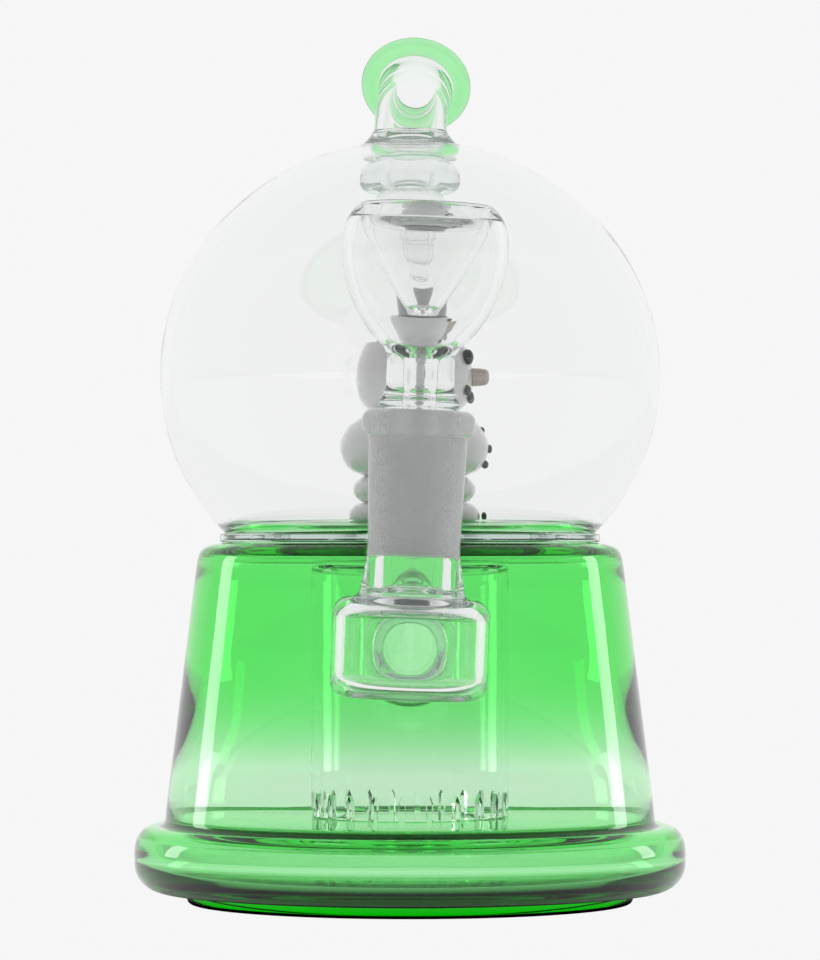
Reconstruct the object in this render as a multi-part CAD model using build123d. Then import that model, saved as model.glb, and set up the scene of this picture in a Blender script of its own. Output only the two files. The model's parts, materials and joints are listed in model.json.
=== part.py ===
from build123d import *
import os
from math import cos, radians, sin

# A hand-blown glass water pipe in the shape of a snow globe on a gumball machine's base.
# Millimetres. The origin is the centre of the underside, +Z is up, the bowl stands on the -Y side
# and the mouthpiece bends back to +Y. The snowman faces +X.

# ---- base ----
foot_under = 2.6            # the floor disc stands this far below the foot ring
floor_edge_radius = 45.0
floor_top = 5.7
foot_inner_radius = 46.0
foot_outer_radius = 55.8
foot_thickness = 1.9        # of the ring's wall round the sealed hollow
foot_top = 16.4
chamber_floor_under = 14.0
chamber_floor_top = 16.2
foot_low_round = 5.5
foot_high_round = 5.8
wall_bottom_radius = 49.7   # outside of the conical wall where it leaves the foot
wall_top = 68.0
wall_slope = 0.123          # radius lost for each millimetre of height
wall_thickness = 3.0
deck_top = 73.3
deck_thickness = 2.8
deck_flat_radius = 15.2
deck_seam_radius = 38.5
deck_seam_z = 72.8
port_radius = 8.0
port_circle_radius = 25.0

# ---- globe and neck ----
globe_radius = 50.75
globe_half_height = 47.7
globe_centre_z = 106.9
globe_thickness = 2.2
globe_floor_top = 75.9
seam_top = 74.9
seam_outer_radius = 38.5
seam_inner_radius = 34.2
neck_ring_bottom = 144.3
neck_ring_top = 150.4
neck_ring_radius = 10.25
inner_tube_radius = 5.9
inner_tube_bore = 4.2
middle_bead_low = 136.0     # three smaller beads on the tube below the neck ring
middle_bead_high = 143.6
middle_bead_radius = 7.1
end_bead_low = 128.4
end_bead_high = 132.8
end_bead_radius = 6.3
tip_bead_low = 125.2
tip_bead_high = 127.9
tip_bead_radius = 5.3
mouth_radius = 7.35
mouth_bore = 5.2
mouth_bend_start = 152.0
mouth_bend_radius = 12.0
mouth_bend_angle = 53.0
mouth_straight = 9.8
mouth_turn = 6.0            # the bend points this many degrees to the +X side of straight back
lip_ring_radius = 9.35
lip_bead_radius = 1.9
neck_weld_radius = 9.6
neck_weld_top = 156.6

# ---- percolator can ----
can_radius = 20.0
can_thickness = 2.0
can_top = 68.0
can_shoulder = 2.4
slit_count = 22
slit_turn = -4.7            # degrees from the bowl's side to the first slit, towards -X
slit_width = 1.3
slit_shoulder_z = 20.9
slit_tip_z = 22.4

# ---- inlet, elbow and ground joint ----
inlet_z = 52.5
inlet_radius = 7.5
inlet_bore = 5.25
inlet_inner_end = 17.0      # the tube stops just inside the can
inlet_weld_radius = 11.5
bowl_reach = 68.5           # from the globe's axis to the joint's
joint_lean = 2.2            # degrees, towards +X
elbow_radius = 14.85
elbow_bottom = 43.2
elbow_top = 62.3
elbow_thickness = 2.0
elbow_round = 3.0
stem_low_radius = 9.95
stem_bore = 6.0
socket_bottom = 69.9
socket_top = 93.0           # a 14.5/23 joint: 14.5 wide at the top of 23 mm of taper
socket_low_radius = 8.45
socket_high_radius = 9.4
joint_top_radius = 7.25
joint_taper = 0.05          # radius lost for each millimetre down the joint, 1 in 10 on diameter
joint_clearance = 0.05
turn_gap = 0.02             # between the plug and the bowl, which turn on each other
collar_top = 97.7
collar_radius = 10.7
collar_bore = 7.7

# ---- lift-off bowl ----
plug_bottom = 70.4
plug_ground_top = 93.4
plug_neck_radius = 6.8
plug_bore = 4.0
bowl_bore = 2.2
flange_bottom = 98.4
flange_top = 99.8
flange_radius = 7.7
bowl_stem_radius = 6.4
bowl_stem_top = 108.2
stem_mouth_radius = 3.2     # the bore widens into the bulb at the top of the stem
stem_mouth_height = 2.4
bulb_radius = 15.7
bulb_widest_z = 128.3
bulb_rim_z = 133.8
bulb_rim_outer = 14.5
bulb_rim_inner = 13.0
rim_top = 136.8
bulb_inner_radius = 14.0
funnel_mouth_radius = 11.4
funnel_tip_radius = 1.0
funnel_tip_z = 115.6
funnel_tip_wall = 1.3

# ---- snowman ----
snow_x = 0.9
base_dome_radius = 13.9
base_dome_top = 80.9
snow_ring_radius = 13.2
snow_ring_top = 86.4
belly_radius = 15.0
belly_widest_z = 92.0
belly_top = 99.6
head_radius = 11.8
head_widest_z = 106.2
head_bottom_radius = 9.0
head_top_radius = 9.9
head_top = 113.4
hat_x = 2.2
brim_radius = 9.0
brim_top = 114.6
crown_low_radius = 8.1
crown_high_radius = 7.7
crown_round = 1.6
hat_top = 123.0
button_radius = 0.9
button_heights = [95.5, 91.9, 88.8, 78.2]
eye_radius = 1.65
eye_azimuth = 22.0
eye_z = 110.4
nose_z = 106.5
nose_base_radius = 1.9
nose_tip_radius = 1.4
nose_length = 3.4
mouth_dots = 5
mouth_dot_radius = 1.1
mouth_half_angle = 26.0
mouth_z = 102.2
mouth_rise = 1.5

BIG = 400.0                 # larger than the whole object, for cutting


def turned(*outline):
    """A solid of revolution about Z from edges drawn as (radius, height)."""
    return revolve(Plane.XZ * make_face(Curve() + list(outline)), axis=Axis.Z)


def turned_polygon(*points):
    """The same, from the corners of a polygon."""
    return turned(Polyline(*points, close=True))


def oval(radius, half_height, centre_z):
    """A solid ellipsoid of revolution."""
    side = EllipticalCenterArc((0, centre_z), radius, half_height, start_angle=-90, arc_size=180)
    return turned(side, Line((0, centre_z + half_height), (0, centre_z - half_height)))


def disc(radius, low, high):
    """A plain upright cylinder between two heights."""
    return Pos(0, 0, low) * Cylinder(radius, high - low, align=(Align.CENTER, Align.CENTER, Align.MIN))


def bead(radius, low, high, edge):
    """A round disc with a rounded rim, flat above and below."""
    return turned(
        Polyline((0, low), (radius - edge, low)),
        ThreePointArc((radius - edge, low), (radius, (low + high) / 2), (radius - edge, high)),
        Polyline((radius - edge, high), (0, high), (0, low)),
    )


def along_y(radius, near, far, z):
    """A cylinder along Y between two values of y."""
    rod = Cylinder(radius, far - near, align=(Align.CENTER, Align.CENTER, Align.MIN))
    return Pos(0, near, z) * Rot(-90, 0, 0) * rod


def wall_radius(z):
    """Outside radius of the conical wall at a height."""
    return wall_bottom_radius - wall_slope * (z - foot_top)


# The joint, elbow and bowl are drawn upright on the Z axis, then leaned and moved out to -Y.
elbow_z = (elbow_bottom + elbow_top) / 2
joint_place = Pos(0, -bowl_reach, elbow_z) * Rot(0, joint_lean, 0) * Pos(0, 0, -elbow_z)
inlet_solid = along_y(inlet_radius, -bowl_reach + elbow_radius - 4.1, -inlet_inner_end, inlet_z)


# ---- base pieces ----
def make_floor_disc():
    return turned(
        Polyline((0, 0), (floor_edge_radius - 0.8, 0)),
        ThreePointArc(
            (floor_edge_radius - 0.8, 0),
            (floor_edge_radius - 0.8 + 0.8 * sin(radians(45)), 0.8 - 0.8 * cos(radians(45))),
            (floor_edge_radius, 0.8),
        ),
        Polyline(
            (floor_edge_radius, 0.8),
            (floor_edge_radius, foot_under),
            (foot_inner_radius, foot_under),
            (foot_inner_radius, floor_top),
            (0, floor_top),
            (0, 0),
        ),
    )


def corner_arc(centre_r, centre_z, radius, start, end):
    return CenterArc((centre_r, centre_z), radius, start, end - start)


def make_foot_ring():
    low_r = foot_outer_radius - foot_low_round
    low_z = foot_under + foot_low_round
    high_r = foot_outer_radius - foot_high_round
    high_z = foot_top - foot_high_round
    ring = turned(
        Line((foot_inner_radius, foot_under), (low_r, foot_under)),
        corner_arc(low_r, low_z, foot_low_round, -90, 0),
        Line((foot_outer_radius, low_z), (foot_outer_radius, high_z)),
        corner_arc(high_r, high_z, foot_high_round, 0, 90),
        Polyline((high_r, foot_top), (foot_inner_radius, foot_top), (foot_inner_radius, foot_under)),
    )
    hollow = disc(foot_outer_radius - foot_thickness, floor_top, chamber_floor_under)
    return ring - fillet(hollow.edges().group_by(Axis.Z)[-1], foot_high_round - foot_thickness)


def make_chamber_floor():
    """The floor that the can stands on; the foot below it is a sealed hollow."""
    return disc(foot_inner_radius, chamber_floor_under, chamber_floor_top)


def make_wall_cone():
    """The conical wall with no hole, filled to the axis."""
    return turned_polygon(
        (0, foot_top), (wall_radius(foot_top), foot_top), (wall_radius(wall_top), wall_top), (0, wall_top)
    )


def make_base_wall():
    hollow = turned_polygon(
        (0, foot_top),
        (wall_radius(foot_top) - wall_thickness, foot_top),
        (wall_radius(wall_top) - wall_thickness, wall_top),
        (0, wall_top),
    )
    return make_wall_cone() - hollow - inlet_solid


def deck_outline(drop, inset):
    """The deck's upper line, or its lower line, from the axis out to the wall."""
    top = deck_top - drop
    seam = (deck_seam_radius - inset * 0.25, deck_seam_z - drop)
    edge = (wall_radius(wall_top) - inset, wall_top)
    middle_r = (deck_flat_radius + seam[0]) / 2
    shoulder = (edge[0] - 1.2 + inset * 0.13, (seam[1] + edge[1]) / 2 + 0.9 - drop * 0.18)
    return [
        Line((0, top), (deck_flat_radius, top)),
        ThreePointArc((deck_flat_radius, top), (middle_r, top - 0.12), seam),
        ThreePointArc(seam, shoulder, edge),
    ]


def make_deck_dome():
    """The deck filled down to the wall's top, used to cut what stands on it."""
    edge_r = wall_radius(wall_top)
    return turned(*deck_outline(0, 0), Polyline((edge_r, wall_top), (0, wall_top), (0, deck_top)))


def make_ports():
    """The four round ways up through the deck and the globe's floor, as solids to cut with."""
    return [
        loc * disc(port_radius, wall_top - 5, globe_floor_top + 5)
        for loc in PolarLocations(port_circle_radius, 4)
    ]


def make_deck():
    edge_r = wall_radius(wall_top) - wall_thickness
    under = turned(
        *deck_outline(deck_thickness, wall_thickness),
        Polyline((edge_r, wall_top), (0, wall_top), (0, deck_top - deck_thickness)),
    )
    return make_deck_dome() - under - make_ports()


# ---- globe and neck pieces ----
def make_globe_solid():
    return oval(globe_radius, globe_half_height, globe_centre_z)


def make_globe():
    inner = oval(
        globe_radius - globe_thickness, globe_half_height - globe_thickness, globe_centre_z
    )
    shell = make_globe_solid() - inner - disc(BIG, seam_top - BIG, seam_top)
    return shell - make_mouth_rod(mouth_radius)


def make_globe_floor():
    """The clear floor of the globe, fused on the green deck."""
    return disc(seam_inner_radius, wall_top, globe_floor_top) - make_deck_dome() - make_ports()


def make_globe_seam_ring():
    ring = turned(
        Polyline((seam_inner_radius, deck_seam_z - 1), (seam_outer_radius - 0.6, deck_seam_z - 1)),
        ThreePointArc(
            (seam_outer_radius - 0.6, deck_seam_z - 1),
            (seam_outer_radius, (deck_seam_z + seam_top) / 2),
            (seam_outer_radius - 0.6, seam_top),
        ),
        Polyline(
            (seam_outer_radius - 0.6, seam_top),
            (seam_inner_radius, seam_top),
            (seam_inner_radius, deck_seam_z - 1),
        ),
    )
    return ring - make_deck_dome()


def make_neck_inner_ring():
    solid = bead(neck_ring_radius, neck_ring_bottom, neck_ring_top, 2.4)
    return solid - disc(mouth_bore, neck_ring_bottom, neck_ring_top)


def make_neck_inner_tube():
    tube = disc(inner_tube_radius, end_bead_high, middle_bead_low)
    tube += disc(inner_tube_radius, middle_bead_high, neck_ring_bottom)
    tube += disc(tip_bead_radius - 0.6, tip_bead_high, end_bead_low)
    return tube - disc(inner_tube_bore, tip_bead_high, neck_ring_bottom)


def make_neck_bead(radius, low, high, edge=1.4):
    return bead(radius, low, high, edge) - disc(inner_tube_bore, low, high)


def mouth_path():
    """Up from the inner ring, round the bend and out to the lip, before it is turned about Z."""
    angle = radians(mouth_bend_angle)
    bend_y = mouth_bend_radius * (1 - cos(angle))
    bend_z = mouth_bend_start + mouth_bend_radius * sin(angle)
    half = angle / 2
    middle = (
        0,
        mouth_bend_radius * (1 - cos(half)),
        mouth_bend_start + mouth_bend_radius * sin(half),
    )
    end = (0, bend_y + mouth_straight * sin(angle), bend_z + mouth_straight * cos(angle))
    return Wire(
        [
            Line((0, 0, neck_ring_top), (0, 0, mouth_bend_start)),
            ThreePointArc((0, 0, mouth_bend_start), middle, (0, bend_y, bend_z)),
            Line((0, bend_y, bend_z), end),
        ]
    )


def make_mouth_rod(radius):
    """A solid rod along the mouthpiece's path."""
    start = Plane((0, 0, neck_ring_top))
    return Rot(0, 0, -mouth_turn) * sweep(start * Circle(radius), path=mouth_path())


def make_mouthpiece_tube():
    return make_mouth_rod(mouth_radius) - make_mouth_rod(mouth_bore)


def make_mouthpiece_lip():
    path = mouth_path()
    end_plane = Plane(origin=path @ 1, z_dir=path % 1)
    lip = end_plane * Pos(0, 0, -lip_bead_radius * 0.5) * Torus(lip_ring_radius, lip_bead_radius)
    tube = end_plane * Cylinder(mouth_radius, 8 * lip_bead_radius)
    return Rot(0, 0, -mouth_turn) * (lip - tube)


def make_neck_weld():
    globe_top = globe_centre_z + globe_half_height
    weld = turned(
        Line((mouth_radius, globe_top - 2), (neck_weld_radius + 1.2, globe_top - 2)),
        Line((neck_weld_radius + 1.2, globe_top - 2), (neck_weld_radius, globe_top)),
        ThreePointArc(
            (neck_weld_radius, globe_top),
            (mouth_radius + 0.7, globe_top + 0.9),
            (mouth_radius, neck_weld_top),
        ),
        Line((mouth_radius, neck_weld_top), (mouth_radius, globe_top - 2)),
    )
    return weld - make_globe_solid() - make_mouth_rod(mouth_radius)


# ---- percolator can ----
def make_percolator_can():
    solid = fillet(
        disc(can_radius, chamber_floor_top, can_top).edges().group_by(Axis.Z)[-1], can_shoulder
    )
    inside = fillet(
        disc(can_radius - can_thickness, chamber_floor_top, can_top - can_thickness)
        .edges()
        .group_by(Axis.Z)[-1],
        can_shoulder - can_thickness,
    )
    slit_face = Polyline(
        (-slit_width / 2, chamber_floor_top - 1),
        (slit_width / 2, chamber_floor_top - 1),
        (slit_width / 2, slit_shoulder_z),
        (0, slit_tip_z),
        (-slit_width / 2, slit_shoulder_z),
        close=True,
    )
    slit = extrude(Plane.XZ * make_face(slit_face), amount=can_radius + 2)
    slits = [Rot(0, 0, slit_turn + 360 * i / slit_count) * slit for i in range(slit_count)]
    return solid - inside - slits - inlet_solid


# ---- inlet, elbow and socket ----
def make_inlet_tube():
    bore = along_y(inlet_bore, -bowl_reach, 0, inlet_z)
    return inlet_solid - bore


def make_inlet_weld_ring():
    seat = wall_radius(inlet_z)
    ring = along_y(inlet_weld_radius, -seat - 2.6, -seat + 4, inlet_z)
    rounded = fillet(ring.edges().group_by(Axis.Y)[0], 1.6)
    return rounded - make_wall_cone() - inlet_solid


def make_elbow_chamber():
    outer = disc(elbow_radius, elbow_bottom, elbow_top)
    outer = fillet(outer.edges().filter_by(GeomType.CIRCLE), elbow_round)
    inner = disc(
        elbow_radius - elbow_thickness, elbow_bottom + elbow_thickness, elbow_top - elbow_thickness
    )
    inner = fillet(inner.edges().filter_by(GeomType.CIRCLE), elbow_round - 1.2)
    top_hole = disc(stem_bore, elbow_z, elbow_top + 1)
    return joint_place * (outer - inner - top_hole) - inlet_solid


def make_elbow_weld_ring():
    seat = -bowl_reach + elbow_radius
    ring = along_y(inlet_radius + 1.6, seat - 4, seat + 2.0, inlet_z)
    rounded = fillet(ring.edges().group_by(Axis.Y)[-1], 1.2)
    chamber = joint_place * disc(elbow_radius, elbow_bottom, elbow_top)
    return rounded - chamber - inlet_solid


def make_joint_stem():
    return joint_place * turned_polygon(
        (stem_bore, elbow_top),
        (stem_low_radius, elbow_top),
        (socket_low_radius, socket_bottom),
        (stem_bore, socket_bottom),
    )


def joint_radius(z):
    """Radius of the ground taper at a height."""
    return joint_top_radius - joint_taper * (socket_top - z)


def make_joint_socket():
    return joint_place * turned_polygon(
        (joint_radius(socket_bottom), socket_bottom),
        (socket_low_radius, socket_bottom),
        (socket_high_radius, socket_top),
        (joint_radius(socket_top), socket_top),
    )


def make_socket_collar():
    ring = bead(collar_radius, socket_top, collar_top, 1.6)
    return joint_place * (ring - disc(collar_bore, socket_top, collar_top))


# ---- lift-off bowl ----
def make_bowl_ground_joint():
    return joint_place * turned_polygon(
        (plug_bore, plug_bottom),
        (joint_radius(plug_bottom) - joint_clearance, plug_bottom),
        (joint_radius(plug_ground_top) - joint_clearance, plug_ground_top),
        (plug_neck_radius, plug_ground_top + 1.0),
        (plug_neck_radius, flange_bottom - turn_gap),
        (bowl_bore, flange_bottom - turn_gap),
        (bowl_bore, flange_bottom - 1.5),
        (plug_bore, flange_bottom - 3.5),
    )


def make_bowl_flange():
    ring = bead(flange_radius, flange_bottom, flange_top, 0.5)
    return joint_place * (ring - disc(bowl_bore, flange_bottom, flange_top))


def make_bowl_stem():
    return joint_place * turned_polygon(
        (bowl_bore, flange_top),
        (bowl_stem_radius, flange_top),
        (bowl_stem_radius, bowl_stem_top),
        (stem_mouth_radius, bowl_stem_top),
        (bowl_bore, bowl_stem_top - stem_mouth_height),
    )


def make_bowl_bulb():
    outside = Spline(
        (bowl_stem_radius, bowl_stem_top),
        (9.5, 111.6),
        (14.1, 119.7),
        (bulb_radius, bulb_widest_z),
        (bulb_rim_outer, bulb_rim_z),
        tangents=[(0.3, 1), (-0.5, 1)],
    )
    inside = Spline(
        (bulb_rim_inner, bulb_rim_z),
        (bulb_inner_radius, bulb_widest_z),
        (12.5, 120.2),
        (8.2, 113.0),
        (stem_mouth_radius, bowl_stem_top),
        tangents=[(0.5, -1), (-0.6, -1)],
    )
    return joint_place * turned(
        outside,
        Line((bulb_rim_outer, bulb_rim_z), (bulb_rim_inner, bulb_rim_z)),
        inside,
        Line((stem_mouth_radius, bowl_stem_top), (bowl_stem_radius, bowl_stem_top)),
    )


def make_bowl_funnel():
    tip_edge = funnel_tip_radius + funnel_tip_wall
    return joint_place * turned(
        Polyline(
            (4.4, 120.6),
            (funnel_tip_radius, funnel_tip_z + 1.2),
            (funnel_tip_radius, funnel_tip_z),
            (tip_edge, funnel_tip_z),
        ),
        Spline((tip_edge, funnel_tip_z), (5.7, 120.3), (10.2, 127.8), (12.7, bulb_rim_z)),
        Line((12.7, bulb_rim_z), (bulb_rim_outer, bulb_rim_z)),
        ThreePointArc(
            (bulb_rim_outer, bulb_rim_z),
            (bulb_rim_outer - 0.8, rim_top - 1.0),
            (bulb_rim_outer - 2.4, rim_top),
        ),
        ThreePointArc(
            (bulb_rim_outer - 2.4, rim_top),
            (funnel_mouth_radius + 0.2, rim_top - 0.4),
            (funnel_mouth_radius - 0.2, rim_top - 1.6),
        ),
        Spline((funnel_mouth_radius - 0.2, rim_top - 1.6), (8.9, 128.0), (6.6, 124.3), (4.4, 120.6)),
    )


# ---- snowman ----
def make_snowman_base():
    return Pos(snow_x, 0, 0) * bead(base_dome_radius, globe_floor_top, base_dome_top, 2.2)


def make_snowman_ring():
    return Pos(snow_x, 0, 0) * bead(snow_ring_radius, base_dome_top, snow_ring_top, 2.6)


def make_snowman_belly():
    side = Spline(
        (10.6, snow_ring_top),
        (belly_radius, belly_widest_z),
        (12.4, 97.2),
        (6.4, belly_top),
        tangents=[(1, 0.35), (-1, 0.25)],
    )
    rest = Polyline((6.4, belly_top), (0, belly_top), (0, snow_ring_top), (10.6, snow_ring_top))
    return Pos(snow_x, 0, 0) * turned(side, rest)


def make_snowman_head():
    side = Spline(
        (head_bottom_radius, belly_top),
        (10.9, 101.6),
        (head_radius, head_widest_z),
        (10.9, 111.4),
        (head_top_radius, head_top),
    )
    rest = Polyline(
        (head_top_radius, head_top), (0, head_top), (0, belly_top), (head_bottom_radius, belly_top)
    )
    return Pos(snow_x, 0, 0) * turned(side, rest)


def make_hat_brim():
    return Pos(hat_x, 0, 0) * bead(brim_radius, head_top, brim_top, 0.5)


def make_hat_crown():
    crown = turned_polygon(
        (0, brim_top), (crown_low_radius, brim_top), (crown_high_radius, hat_top), (0, hat_top)
    )
    return Pos(hat_x, 0, 0) * fillet(crown.edges().group_by(Axis.Z)[-1], crown_round)


def on_surface(solid, azimuth, z):
    """Where a level line from the snowman's axis leaves a solid, at an angle from +X."""
    ray = Edge.make_line((snow_x, 0, z), (snow_x + 2 * belly_radius, 0, z))
    turned_ray = Pos(snow_x, 0, 0) * Rot(0, 0, azimuth) * Pos(-snow_x, 0, 0) * ray
    inside = turned_ray & solid
    reach = max((inside @ t - Vector(snow_x, 0, z)).length for t in (0, 1))
    return (snow_x + reach * cos(radians(azimuth)), reach * sin(radians(azimuth)), z)


def make_snowman_eyes():
    head = make_snowman_head()
    places = [on_surface(head, side * eye_azimuth, eye_z) for side in (-1, 1)]
    return [Pos(*place) * Sphere(eye_radius) - head for place in places]


def make_snowman_nose():
    root = 1.2
    head = make_snowman_head()
    carrot = Cone(
        nose_base_radius,
        nose_tip_radius,
        nose_length + root,
        align=(Align.CENTER, Align.CENTER, Align.MIN),
    )
    x = on_surface(head, 0, nose_z)[0] - root
    return Pos(x, 0, nose_z) * Rot(0, 90, 0) * carrot - head


def make_snowman_mouth():
    head = make_snowman_head()
    dots = []
    for i in range(mouth_dots):
        share = 2 * i / (mouth_dots - 1) - 1
        place = on_surface(head, share * mouth_half_angle, mouth_z + mouth_rise * share**2)
        dots.append(Pos(*place) * Sphere(mouth_dot_radius) - head)
    return dots


def make_snowman_buttons():
    torso = make_snowman_belly() + make_snowman_base()
    places = [on_surface(torso, 0, z) for z in button_heights]
    return [Pos(*place) * Sphere(button_radius) - torso for place in places]


pieces = {
    "floor_disc": make_floor_disc(),
    "foot_ring": make_foot_ring(),
    "chamber_floor": make_chamber_floor(),
    "base_wall": make_base_wall(),
    "deck": make_deck(),
    "globe_floor": make_globe_floor(),
    "globe_seam_ring": make_globe_seam_ring(),
    "globe": make_globe(),
    "neck_weld": make_neck_weld(),
    "neck_inner_ring": make_neck_inner_ring(),
    "neck_inner_tube": make_neck_inner_tube(),
    "neck_middle_bead": make_neck_bead(middle_bead_radius, middle_bead_low, middle_bead_high),
    "neck_end_bead": make_neck_bead(end_bead_radius, end_bead_low, end_bead_high),
    "neck_tip_bead": make_neck_bead(tip_bead_radius, tip_bead_low, tip_bead_high, edge=0.7),
    "mouthpiece_tube": make_mouthpiece_tube(),
    "mouthpiece_lip": make_mouthpiece_lip(),
    "percolator_can": make_percolator_can(),
    "inlet_tube": make_inlet_tube(),
    "inlet_weld_ring": make_inlet_weld_ring(),
    "elbow_chamber": make_elbow_chamber(),
    "elbow_weld_ring": make_elbow_weld_ring(),
    "joint_stem": make_joint_stem(),
    "joint_socket": make_joint_socket(),
    "socket_collar": make_socket_collar(),
    "bowl_ground_joint": make_bowl_ground_joint(),
    "bowl_flange": make_bowl_flange(),
    "bowl_stem": make_bowl_stem(),
    "bowl_bulb": make_bowl_bulb(),
    "bowl_funnel": make_bowl_funnel(),
    "snowman_base": make_snowman_base(),
    "snowman_ring": make_snowman_ring(),
    "snowman_belly": make_snowman_belly(),
    "snowman_head": make_snowman_head(),
    "hat_brim": make_hat_brim(),
    "hat_crown": make_hat_crown(),
    "snowman_eyes": make_snowman_eyes(),
    "snowman_nose": make_snowman_nose(),
    "snowman_mouth": make_snowman_mouth(),
    "snowman_buttons": make_snowman_buttons(),
}

os.makedirs("parts", exist_ok=True)
for name, piece in pieces.items():
    solids = piece if isinstance(piece, list) else [piece]
    group = Compound(children=[s for one in solids for s in one.solids()])
    export_step(group, f"parts/{name}.step")
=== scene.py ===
# %% [markdown]
# # A blown glass pipe in the shape of a gumball machine
# A green base like a gumball machine's, a clear globe with a glass snowman in it, a bent mouthpiece on top
# and a bowl that lifts out of a frosted joint in front. Nearly every part was turned on a glass lathe, so
# nearly every mesh here is an outline spun about an axis. The CAD parts give the sizes and the axes.

# %% Load the fixed frame
import bpy
import bmesh
from math import asin, atan, cos, pi, radians, sin, sqrt, tau
from mathutils import Matrix, Vector
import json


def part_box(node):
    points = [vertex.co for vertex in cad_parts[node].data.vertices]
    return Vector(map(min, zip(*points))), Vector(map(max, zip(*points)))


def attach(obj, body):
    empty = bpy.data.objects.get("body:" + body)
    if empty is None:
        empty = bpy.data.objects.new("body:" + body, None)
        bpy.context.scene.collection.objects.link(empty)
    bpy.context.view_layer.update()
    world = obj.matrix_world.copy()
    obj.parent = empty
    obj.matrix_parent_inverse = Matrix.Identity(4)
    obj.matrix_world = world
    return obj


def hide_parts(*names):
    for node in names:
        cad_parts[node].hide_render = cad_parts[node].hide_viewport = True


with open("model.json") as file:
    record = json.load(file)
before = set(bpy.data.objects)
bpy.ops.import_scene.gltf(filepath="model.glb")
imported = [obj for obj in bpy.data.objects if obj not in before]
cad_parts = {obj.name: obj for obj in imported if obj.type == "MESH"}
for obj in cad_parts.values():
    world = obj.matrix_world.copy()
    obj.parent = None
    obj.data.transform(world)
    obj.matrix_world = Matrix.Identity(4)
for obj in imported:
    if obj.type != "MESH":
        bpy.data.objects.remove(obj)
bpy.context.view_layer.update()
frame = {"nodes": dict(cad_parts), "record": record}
MM = 0.001

# %% [markdown]
# ## Sizes from the frame
# A turned part is known by its widest radius and by the heights of its ends, and both come from the box of
# the CAD node, in millimetres. The ground joint leans a little, so its parts are drawn upright on their own
# axis, with height 0 at the bowl's flange, and a matrix made from the joint's record puts them in place.


# %% Read a node's size
class Span:
    """A CAD node's half width and its lowest and highest points, in millimetres."""

    def __init__(self, node):
        low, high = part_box(node)
        self.low = low / MM
        self.high = high / MM
        self.radius = (self.high.x - self.low.x) / 2
        self.x = (self.high.x + self.low.x) / 2


turn_joint = next(j for j in frame["record"]["behaviour"]["joints"] if j["name"] == "bowl_turn")
joint_axis = Vector(turn_joint["axis"])
joint_lean = joint_axis.to_track_quat("Z", "Y").to_matrix().to_4x4()
joint_place = Matrix.Translation(turn_joint["pos_m"]) @ joint_lean
print("joint axis leans", round(joint_axis.angle(Vector((0, 0, 1))) * 180 / pi, 2), "degrees")

# %% [markdown]
# ## Turning an outline
# The outline is a wire of a few corners, each with its own rounding. Bevelling a wire's vertices rounds its
# corners, as a flame does to a cut edge. Long edges are then divided, because smooth shading on a long face
# next to a short one bends the reflections. Spinning the wire gives the skin of a solid piece of glass, or,
# where the outline goes up the outside and down the inside, of a hollow one.


# %% Outline and spin
def wire(corners, closed=True, longest=1.6):
    """A mesh with one outline in the XZ plane, from corners of (radius, height, rounding) in mm."""
    bm = bmesh.new()
    verts = [bm.verts.new((c[0] * MM, 0, c[1] * MM)) for c in corners]
    pairs = list(zip(verts, verts[1:] + verts[:1]))
    for a, b in pairs if closed else pairs[:-1]:
        bm.edges.new((a, b))
    rounding = [c[2] if len(c) > 2 else 0 for c in corners]
    for width in sorted(set(rounding) - {0}):
        soft = [v for v, r in zip(verts, rounding) if r == width]
        bmesh.ops.bevel(
            bm, geom=soft, offset=width * MM, segments=7, profile=0.5, affect="VERTICES", material=-1
        )
    for edge in bm.edges[:]:
        cuts = int(edge.calc_length() / (longest * MM))
        if cuts:
            bmesh.ops.subdivide_edges(bm, edges=[edge], cuts=cuts)
    return bm


def spun(bm, steps=160):
    """The wire turned once about Z, with its poles closed and its faces pointing out."""
    bmesh.ops.spin(
        bm,
        geom=bm.verts[:] + bm.edges[:],
        cent=(0, 0, 0),
        axis=(0, 0, 1),
        angle=tau,
        steps=steps,
        use_merge=True,
        use_duplicate=False,
    )
    bmesh.ops.remove_doubles(bm, verts=bm.verts[:], dist=1e-6)
    bmesh.ops.recalc_face_normals(bm, faces=bm.faces[:])
    return bm


def joined(parts):
    """One mesh from several."""
    both = bmesh.new()
    for bm in parts:
        part = bpy.data.meshes.new("part")
        bm.to_mesh(part)
        bm.free()
        both.from_mesh(part)
        bpy.data.meshes.remove(part)
    return both


def made(name, bm, material, body, nodes):
    """Turns a finished mesh into a piece that rides on a body and stands for its CAD nodes."""
    mesh = bpy.data.meshes.new(name)
    bm.to_mesh(mesh)
    bm.free()
    mesh.materials.append(material)
    mesh.shade_smooth()
    piece = bpy.data.objects.new(name, mesh)
    bpy.context.scene.collection.objects.link(piece)
    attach(piece, body)
    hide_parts(*nodes)
    print(name, "has", len(mesh.polygons), "faces")
    return piece


def curve_through(points, steps=5):
    """Corners on a smooth curve through a few (radius, height) points, by Catmull and Rom's formula."""
    out = []
    ends = [points[0], *points, points[-1]]
    for a, b, c, d in zip(ends, ends[1:], ends[2:], ends[3:]):
        for i in range(steps):
            t = i / steps
            out.append(
                tuple(
                    0.5
                    * (
                        2 * q
                        + (r - p) * t
                        + (2 * p - 5 * q + 4 * r - s) * t * t
                        + (3 * q - p - 3 * r + s) * t**3
                    )
                    for p, q, r, s in zip(a, b, c, d)
                )
            )
    return [*out, points[-1]]


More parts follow.
